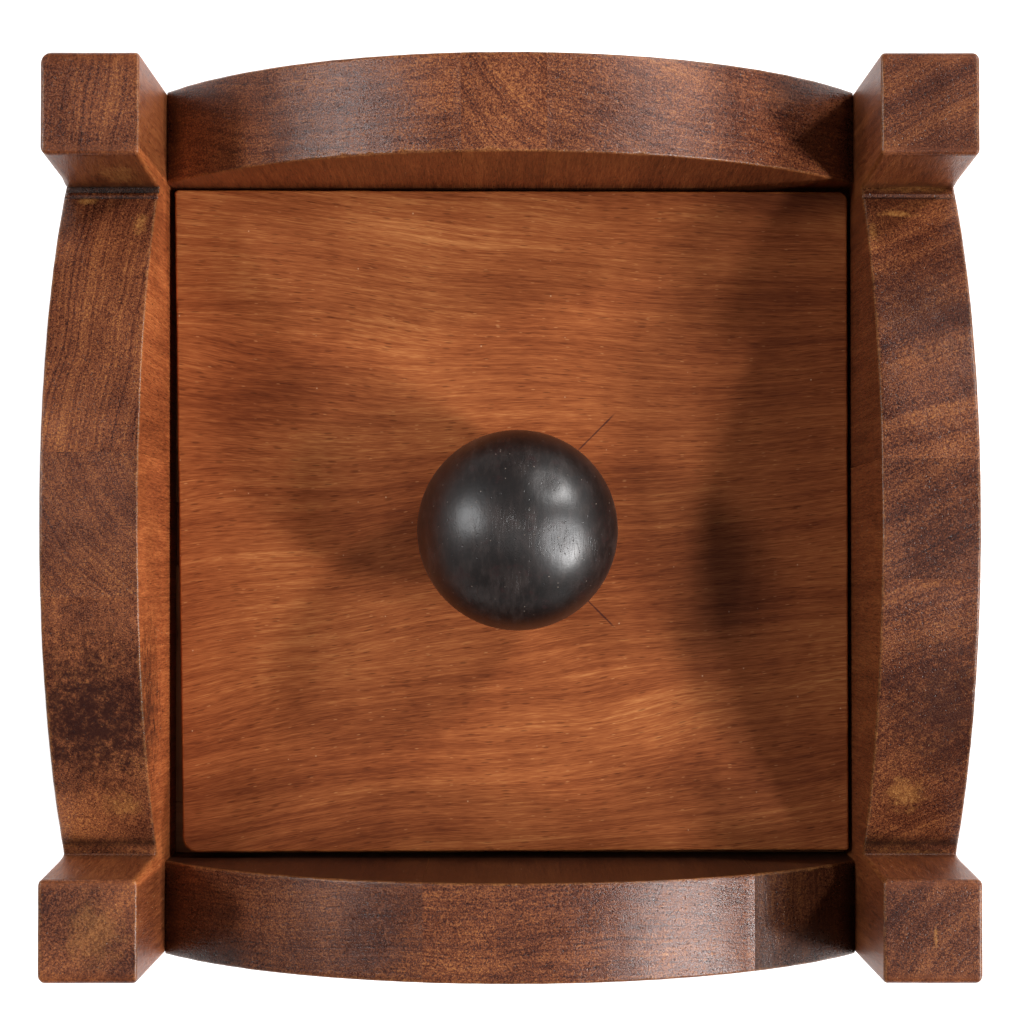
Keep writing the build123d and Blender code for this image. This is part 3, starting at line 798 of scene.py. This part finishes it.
def clipped(path, low, high, seams):
    """The part of a path between two ends, closed down to the floor as an outline.
    seams says whether another stave joins at high and at low; an end without a seam is a board's end."""

    def kept(u):
        at_board_end = abs(abs(u) - half_depth) < 1.2
        return low - 0.01 <= u <= high + 0.01 and (low + 0.9 < u < high - 0.9 or at_board_end)

    def crown_at(u):
        """Height of the path at u, and the point of the path before it."""
        for a, b in zip(path, path[1:]):
            (u0, z0), (u1, z1) = a["at"], b["at"]
            if u0 != u1 and min(u0, u1) <= u <= max(u0, u1):
                return z0 + (u - u0) / (u1 - u0) * (z1 - z0), a
        return path[-1]["at"][1], path[-1]

    def rims_like(point):
        return dict(low=point["rim_low"], high=point["rim_high"])

    inside = [p for p in path if kept(p["at"][0])]
    seam_rims, foot_rims = dict(low=0.05, high=0.05), dict(low=0.4, high=0.4)
    end_heights = range(4, int(crown_z) - 3, 4)
    if seams[0]:
        top, like = crown_at(high)
        outline = [spot(high, 0.0, corner=True, **seam_rims)]
        outline += [spot(high, v, **seam_rims) for v in range(10, int(top) - 2, 10)]
        outline.append(spot(high, top, crown=1.0, corner=True, **rims_like(like)))
    else:
        outline = [spot(high, 0.0, corner=True, **foot_rims)]
        outline += [spot(high, v, rough=0.05, **rims_like(inside[0])) for v in end_heights]
    outline += inside
    if seams[1]:
        top, like = crown_at(low)
        outline.append(spot(low, top, crown=1.0, corner=True, **rims_like(like)))
        outline += [spot(low, v, **seam_rims) for v in range(int(top) // 10 * 10 - 10, 5, -10)]
        outline.append(spot(low, 0.0, corner=True, **seam_rims))
    else:
        outline += [spot(low, v, rough=0.05, **rims_like(inside[-1])) for v in reversed(end_heights)]
        outline.append(spot(low, 0.0, corner=True, **foot_rims))
    steps = max(4, int((high - low) / 5))
    outline += [spot(low + (high - low) * k / steps, 0.0, **foot_rims) for k in range(1, steps)]
    return outline


def mirrored(path):
    """The path reflected to the other side of the middle, in reverse order."""
    made = []
    for p in reversed(path):
        q = dict(p, at=(-p["at"][0], p["at"][1]))
        if "fillet" in p:
            corner, before, after, radius, share, rims_before, rims_after = p["fillet"]
            flip = [Vector((-v.x, v.y)) for v in (corner, after, before)]
            q["fillet"] = (*flip, radius, 1 - share, rims_after, rims_before)
        made.append(q)
    return made


def swapped(path):
    """The path with the rims of its two faces exchanged."""
    made = []
    for p in path:
        q = dict(p, rim_low=p["rim_high"], rim_high=p["rim_low"])
        if "fillet" in p:
            *same, rims_before, rims_after = p["fillet"]
            q["fillet"] = (*same, rims_before[::-1], rims_after[::-1])
        made.append(q)
    return made


def worn_rims(path, seed, amount, nicks=()):
    """Varies the rim rounding along a path; nicks in the low rim are (centre, half width, depth)."""
    for p in path:
        if p["crown"] < 1 or "fillet" in p:
            continue
        u, v = p["at"]
        p["rim_low"] *= 1 + amount * wobble((u, v, 3.0), 0.35, seed)
        p["rim_high"] *= 1 + amount * wobble((u, v, 9.0), 0.35, seed + 1)
        for centre, half, depth in nicks:
            p["rim_low"] += depth * tent(u, centre, half)
    return path


def wall_stave(node, path, span, seams, planes, place, material):
    """One stave of a wall, replaced by a detailed mesh with the base panel's rebate cut out of it."""
    bm = rounded_plate(clipped(path, *span, seams), *planes, place, 30)
    piece = to_object(f"{node}_look", bm, [material], "case", [node])
    low, high = corners_mm("base_panel")
    below_floor = -3.0
    cut_away(piece, box_cutter((low[0], low[1], below_floor), high))


# what wall_wood makes of each stave, with inner_shade as painted light and shade on the face towards the lid
side_looks = {
    "left_wall_rear_stave": dict(
        heart=(-420.0, 100.0), seed=1, ring=0.62, rings=0.75, bands=0.3,
        mid=srgb(108, 56, 36), shade=0.92, inner_shade=1.4,
        rubs=[((-71.0, 53.4, 131.0), (2.6, 0.9, 3.0), 0.8), ((-61.5, 48.5, 134.0), (1.6, 3.2, 3.0), 0.55),
              ((-64.5, 57.0, 138.0), (5.0, 3.0, 7.0), 0.5)],
    ),
    "left_wall_middle_stave": dict(
        heart=(20.0, 60.0), seed=2, ring=0.5, rings=0.4, shade=0.85, inner_shade=1.4,
    ),
    "left_wall_front_stave": dict(
        heart=(-130.0, -20.0), seed=3, rings=0.3, shade=1.1, blotch=0.75,
        dark=srgb(52, 22, 18), mid=srgb(110, 60, 38), inner_shade=1.4,
        stains=[((-67.0, -31.0, 140.0), (19.0, 19.0, 18.0), 0.95)],
        rubs=[((-64.0, -47.0, 134.0), (4.5, 3.0, 5.0), 0.45), ((-66.0, -66.0, 150.0), (6.0, 7.0, 4.0), 0.3)],
    ),
    "right_wall_rear_stave": dict(
        heart=(20.0, 160.0), seed=4, ring=0.8, rings=0.4, bands=0.35, shade=0.86, inner_shade=0.75,
        stains=[((67.0, 34.0, 142.0), (14.0, 12.0, 12.0), 0.5)],
        rubs=[((64.5, 51.0, 133.0), (4.2, 0.8, 3.0), 0.85), ((60.2, 47.2, 135.0), (1.0, 2.6, 3.0), 0.6),
              ((68.5, 52.8, 150.0), (6.5, 0.6, 4.0), 0.3), ((67.0, 55.8, 129.5), (8.0, 1.0, 1.6), 0.6)],
    ),
    "right_wall_middle_stave": dict(
        heart=(-40.0, 260.0), seed=5, ring=0.55, rings=0.5, shade=0.8, inner_shade=0.8,
    ),
    "right_wall_front_stave": dict(
        heart=(110.0, -120.0), seed=6, ring=0.7, rings=0.45, shade=0.84, inner_shade=0.75,
        stains=[((70.0, -30.0, 142.0), (13.0, 18.0, 15.0), 0.75)],
        rubs=[((65.0, -45.0, 136.0), (4.2, 4.0, 5.0), 0.5), ((66.5, -55.6, 129.5), (8.0, 0.7, 1.4), 0.5),
              ((67.5, -67.0, 150.0), (0.35, 2.4, 3.0), 0.6)],
    ),
}
plain_end = dict(ring=0.45, rings=0.4, sand=(0.12, 2.4, 0.3))
end_looks = {
    "back_wall_left_stave": dict(plain_end, heart=(-30.0, 420.0), seed=11, shade=1.05),
    "back_wall_middle_stave": dict(heart=(25.0, 95.0), seed=12, ring=0.5, rings=0.55, shade=1.05),
    "back_wall_right_stave": dict(plain_end, heart=(60.0, 300.0), seed=13, shade=0.95),
    "front_wall_left_stave": dict(plain_end, heart=(-30.0, -460.0), seed=14, shade=0.85),
    "front_wall_middle_stave": dict(plain_end, heart=(10.0, -520.0), seed=15, rings=0.45),
    # shade=0.34 paints the corner block's shadow into this stave's crown
    "front_wall_right_stave": dict(heart=(120.0, -66.0), seed=16, ring=0.55, rings=0.5, shade=0.34),
}

for wall, seed, rear, front in (
    ("left", 4, ("kerf", 2.0, 0.8), ("cove", 1.3, 0.8)),
    ("right", 3, ("ragged", 1.2, 0.8), ("cove", 1.2, 0.8)),
):
    low, high = corners_mm(f"{wall}_wall_rear_stave")
    planes = (low[0], high[0])
    path = side_half(*rear) + mirrored(side_half(*front))
    if wall == "right":
        path = swapped(path)
    path = worn_rims(path, seed, 0.35)
    for part in ("rear", "middle", "front"):
        node = f"{wall}_wall_{part}_stave"
        low, high = corners_mm(node)
        seams = (part != "rear", part != "front")
        look = wall_wood(node, **side_looks[node])
        wall_stave(node, path, (low[1], high[1]), seams, planes, lambda u, v, w: (w, u, v), look)

back_nicks = (
    (-27.0, 0.9, 0.5), (-22.6, 0.7, 0.35), (-17.2, 1.1, 0.55), (-11.5, 0.8, 0.4),
    (-3.2, 1.4, 0.45), (6.4, 0.8, 0.5), (12.8, 1.0, 0.3), (21.0, 0.8, 0.45),
)
rail_rims = dict(low=0.42, high=0.42)
# inner_shade paints shade on the end walls' faces towards the lid, deepest on the front wall
for wall, seed, nicks, inner_shade in (("back", 7, back_nicks, 0.8), ("front", 8, (), 0.2)):
    path = []
    u = inner_x
    while u > -inner_x:
        # the rail darkens next to each corner block: soiling plus painted shade in the corner
        grime_and_shade = 0.8 * tent(abs(u), inner_x, 3.5)
        path.append(spot(u, arc_z(u, rail_radius), crown=1.0, grime_and_shade=grime_and_shade, rough=0.08, **rail_rims))
        u -= pitch
    path.append(spot(-inner_x, spring_z, crown=1.0, grime_and_shade=0.8, **rail_rims))
    path = worn_rims(path, seed, 0.4, nicks)
    for part in ("left", "middle", "right"):
        node = f"{wall}_wall_{part}_stave"
        low, high = corners_mm(node)
        look = wall_wood(node, inner_shade=inner_shade, **end_looks[node])
        span, planes = (low[0], high[0]), (low[1], high[1])
        wall_stave(node, path, span, (True, True), planes, lambda u, v, w: (u, w, v), look)


# ---- lid ----
lid_low, lid_high = corners_mm("lid_panel")
lid_corners = [  # the lid isn't quite square: each corner, and its rounding
    ((-56.6, -57.2), 2.8),
    ((58.6, -56.8), 0.6),
    ((58.6, 57.4), 1.8),
    ((-58.3, 57.7), 0.8),
]
lid_rims = (0.4, 0.5)
outline = []
for k, (corner, radius) in enumerate(lid_corners):
    c = Vector(corner)
    before = Vector(lid_corners[k - 1][0]) - c
    after = Vector(lid_corners[(k + 1) % 4][0]) - c
    outline += rounded(c, before, after, radius, 6, lid_rims, lid_rims, crown=1.0, rough=0.04)
    steps = 70
    for s in range(1, steps):
        at = c + after * s / steps
        if (at - c).length > radius * 1.6 and (at - c - after).length > 4.5:
            outline.append(spot(at.x, at.y, crown=1.0, low=lid_rims[0], high=lid_rims[1], rough=0.1))
lid_bm = rounded_plate(outline, lid_low[2], lid_high[2], lambda u, v, w: (u, v, w), 8)
lid = to_object("lid_panel_look", lid_bm, [lid_wood()], "lid", ["lid_panel"])

bush_low, bush_high = corners_mm("spindle_bush")
axis = ((bush_low[0] + bush_high[0]) / 2, (bush_low[1] + bush_high[1]) / 2)
bush_radius = (bush_high[0] - bush_low[0]) / 2
cut_away(lid, drum_cutter(bush_radius, lid_low[2] - 2, lid_high[2] + 2, axis))


# ---- knob ----
ball_low, ball_high = corners_mm("knob_ball")
ball_radius = (ball_high[0] - ball_low[0]) / 2
foot = ball_low[2]
ball_z = 138.0
neck_radius, stud_radius = 7.5, 3.0
shoulder_radius, flat_radius = 13.0, 21.0  # the ball's top is flatter than its sides
shoulder_in = ball_radius - shoulder_radius
tilt = math.asin(shoulder_in / (flat_radius - shoulder_radius))
flat_centre = ball_z - shoulder_in / math.tan(tilt)
join = math.pi - math.asin(neck_radius / ball_radius)
throat = ball_z + ball_radius * math.cos(join)


def swept(radius, centre, start, end, steps):
    """Points of an arc, as distance from the axis and height; its angles are from straight up."""
    angles = [start + (end - start) * k / steps for k in range(steps + 1)]
    return [(centre[0] + radius * math.sin(a), centre[1] + radius * math.cos(a)) for a in angles]


profile = [(stud_radius, foot), (neck_radius - 0.5, foot)]
profile += [(neck_radius - 0.12, foot + 0.15), (neck_radius, foot + 0.5)]
profile += [(neck_radius, foot + (throat - foot) * share) for share in (0.5, 0.75)]
profile += swept(ball_radius, (0.0, ball_z), join, math.pi / 2, 40)
profile += swept(shoulder_radius, (shoulder_in, ball_z), math.pi / 2, tilt, 32)[1:]
profile += swept(flat_radius, (0.0, flat_centre), tilt, 0.0, 24)[1:]

dents = [  # x, y from the axis, radius, depth
    (4.3, 8.0, 3.6, 0.24),
    (6.8, -1.2, 4.6, 0.36),
    (-6.8, -4.6, 3.0, 0.10),
    (-2.0, 3.5, 4.0, 0.08),
    (-7.0, 1.0, 2.2, 0.06),
]
dent_reach, dent_falloff = 1.6, 2.2
unevenness = 0.035
full_size = 18.0  # a drop of this many millimetres would shrink the ball to nothing


def sunk(x, y, z):
    """How far the ball's surface lies below its smooth shape."""
    if z <= ball_z:
        return 0.0
    drop = unevenness * (1 + wobble((x, y, z), 0.22, 5))
    for dx, dy, size, depth in dents:
        near = math.hypot(x - dx, y - dy) / size
        if near < dent_reach:
            drop += depth * math.exp(-dent_falloff * near**2)
    return drop


bm = bmesh.new()
around = 160
rings = []
for r, z in profile[:-1]:
    ring = []
    for k in range(around):
        a = 2 * math.pi * k / around
        x, y = r * math.cos(a), r * math.sin(a)
        scale = 1 - sunk(x, y, z) / full_size
        ring.append(bm.verts.new((axis[0] + x * scale, axis[1] + y * scale, ball_z + (z - ball_z) * scale)))
    rings.append(ring)
for first, second in zip(rings, rings[1:]):
    for k in range(around):
        j = (k + 1) % around
        bm.faces.new((first[k], first[j], second[j], second[k]))
tip = bm.verts.new((axis[0], axis[1], profile[-1][1] - 0.06))
for k in range(around):
    bm.faces.new((rings[-1][k], rings[-1][(k + 1) % around], tip))
bm.faces.new(rings[0][::-1])
knob = to_object("knob_ball_look", bm, [knob_lacquer()], "knob", ["knob_ball"], sharp=50.0)
cut_away(knob, drum_cutter(stud_radius, foot - 2, ball_z - 4.0, axis))


# ---- the other pieces: the CAD shape with eased edges ----
def eased(node, body, material, width):
    """The node's own shape with small rounded edges, as a new piece."""
    source = frame["nodes"][node].data
    bm = bmesh.new()
    made = [bm.verts.new(v.co / MM) for v in source.vertices]
    for polygon in source.polygons:
        bm.faces.new([made[i] for i in polygon.vertices])
    bmesh.ops.remove_doubles(bm, verts=bm.verts, dist=0.002)
    bmesh.ops.dissolve_limit(bm, angle_limit=math.radians(1.0), verts=bm.verts, edges=bm.edges)
    bmesh.ops.recalc_face_normals(bm, faces=bm.faces)
    limit = math.radians(40)
    edges = [e for e in bm.edges if len(e.link_faces) == 2 and e.calc_face_angle(0.0) > limit]
    flats = set(bm.faces)
    way = dict(offset_type="OFFSET", segments=2, profile=0.5, affect="EDGES", clamp_overlap=True)
    bmesh.ops.bevel(bm, geom=edges, offset=width, **way)
    worn = bm.verts.layers.float.new("edge")
    narrow = 30 * width
    for face in bm.faces:
        if face not in flats and face.calc_area() < narrow:
            for v in face.verts:
                v[worn] = 1.0
    to_object(f"{node}_look", bm, [material], body, [node], sharp=28.0)


plain_dark, plain_light = srgb(104, 60, 38), srgb(176, 118, 78)
bolt_dark, bolt_light = srgb(72, 38, 24), srgb(122, 72, 46)
wood_x = inner_wood("inner_wood_x", 0, 21, plain_dark, plain_light)
wood_y = inner_wood("inner_wood_y", 1, 22, plain_dark, plain_light)
base_wood = inner_wood("base_wood", 0, 23, srgb(96, 54, 36), srgb(158, 98, 66))
carrier_wood = inner_wood("carrier_wood", 0, 24, srgb(120, 76, 48), srgb(190, 136, 92))
cover_wood = inner_wood("cover_wood", 1, 25, srgb(128, 84, 54), srgb(200, 148, 104))
bolt_wood_x = inner_wood("bolt_wood_x", 0, 26, bolt_dark, bolt_light)
bolt_wood_y = inner_wood("bolt_wood_y", 1, 27, bolt_dark, bolt_light)
keeper_wood = inner_wood("keeper_wood", 2, 29, srgb(86, 46, 28), srgb(140, 86, 54))
dowel_wood = inner_wood("dowel_wood", 0, 28, srgb(150, 110, 72), srgb(206, 168, 120))
brass = metal("brass", (0.62, 0.42, 0.16), 0.32, 31)
steel = metal("steel", (0.46, 0.45, 0.43), 0.36, 32)

for nodes, slot, material, width in (
    ("base_panel", "inner_wood", base_wood, 0.3),
    ("base_screws", "steel", steel, 0.12),
    ("corner_dowels", "inner_wood", dowel_wood, 0.3),
    ("ledge_back_left ledge_back_right ledge_front_left ledge_front_right", "inner_wood", wood_x, 0.4),
    ("ledge_left_front ledge_left_rear ledge_right_front ledge_right_rear", "inner_wood", wood_y, 0.4),
    ("keeper_back keeper_front keeper_left keeper_right", "inner_wood", keeper_wood, 0.4),
    ("ledge_screws", "steel", steel, 0.12),
    ("bolt_carrier", "inner_wood", carrier_wood, 0.4),
    ("cover_plate", "inner_wood", cover_wood, 0.35),
    ("cover_screws carrier_screws", "steel", steel, 0.12),
    ("tilt_plug", "inner_wood", dowel_wood, 0.2),
    ("spindle_bush", "brass", brass, 0.15),
    ("knob_spindle", "steel", steel, 0.15),
    ("spindle_washer", "brass", brass, 0.15),
    ("spindle_nut", "steel", steel, 0.2),
    ("cam_disc", "brass", brass, 0.15),
    ("bolt_back bolt_front", "inner_wood", bolt_wood_y, 0.4),
    ("bolt_left bolt_right", "inner_wood", bolt_wood_x, 0.4),
    ("follower_back follower_front follower_left follower_right", "steel", steel, 0.15),
    ("tilt_pin", "steel", steel, 0.3),
):
    for node in nodes.split():
        body = next(b for b, members in frame["record"]["behaviour"]["bodies"].items() if node in members)
        eased(node, body, material, width)
